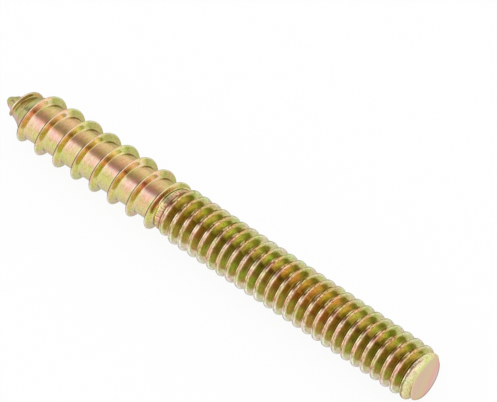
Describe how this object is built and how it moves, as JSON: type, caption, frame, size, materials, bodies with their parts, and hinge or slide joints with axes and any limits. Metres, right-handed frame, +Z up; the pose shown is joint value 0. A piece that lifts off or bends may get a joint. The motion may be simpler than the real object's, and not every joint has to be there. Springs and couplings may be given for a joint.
{
  "type": "dowel screw",
  "caption": "Headless dowel screw of the hanger-bolt kind: a machine thread with a flat chamfered end, and a coarse wood thread with a blunt cone point.",
  "frame": {"origin": "centre of the machine thread's flat end, on the screw's axis", "axes": "+X along the screw's axis, out of the flat end, so the point is at -X; +Z up as the screw lies"},
  "size_m": [0.0468, 0.005, 0.005],
  "materials": {
    "yellow_zinc": "semi-gloss yellow chromate over zinc plate, with olive, green and pink tints"
  },
  "bodies": {
    "root": {"dowel_screw": "yellow_zinc"}
  },
  "joints": []
}
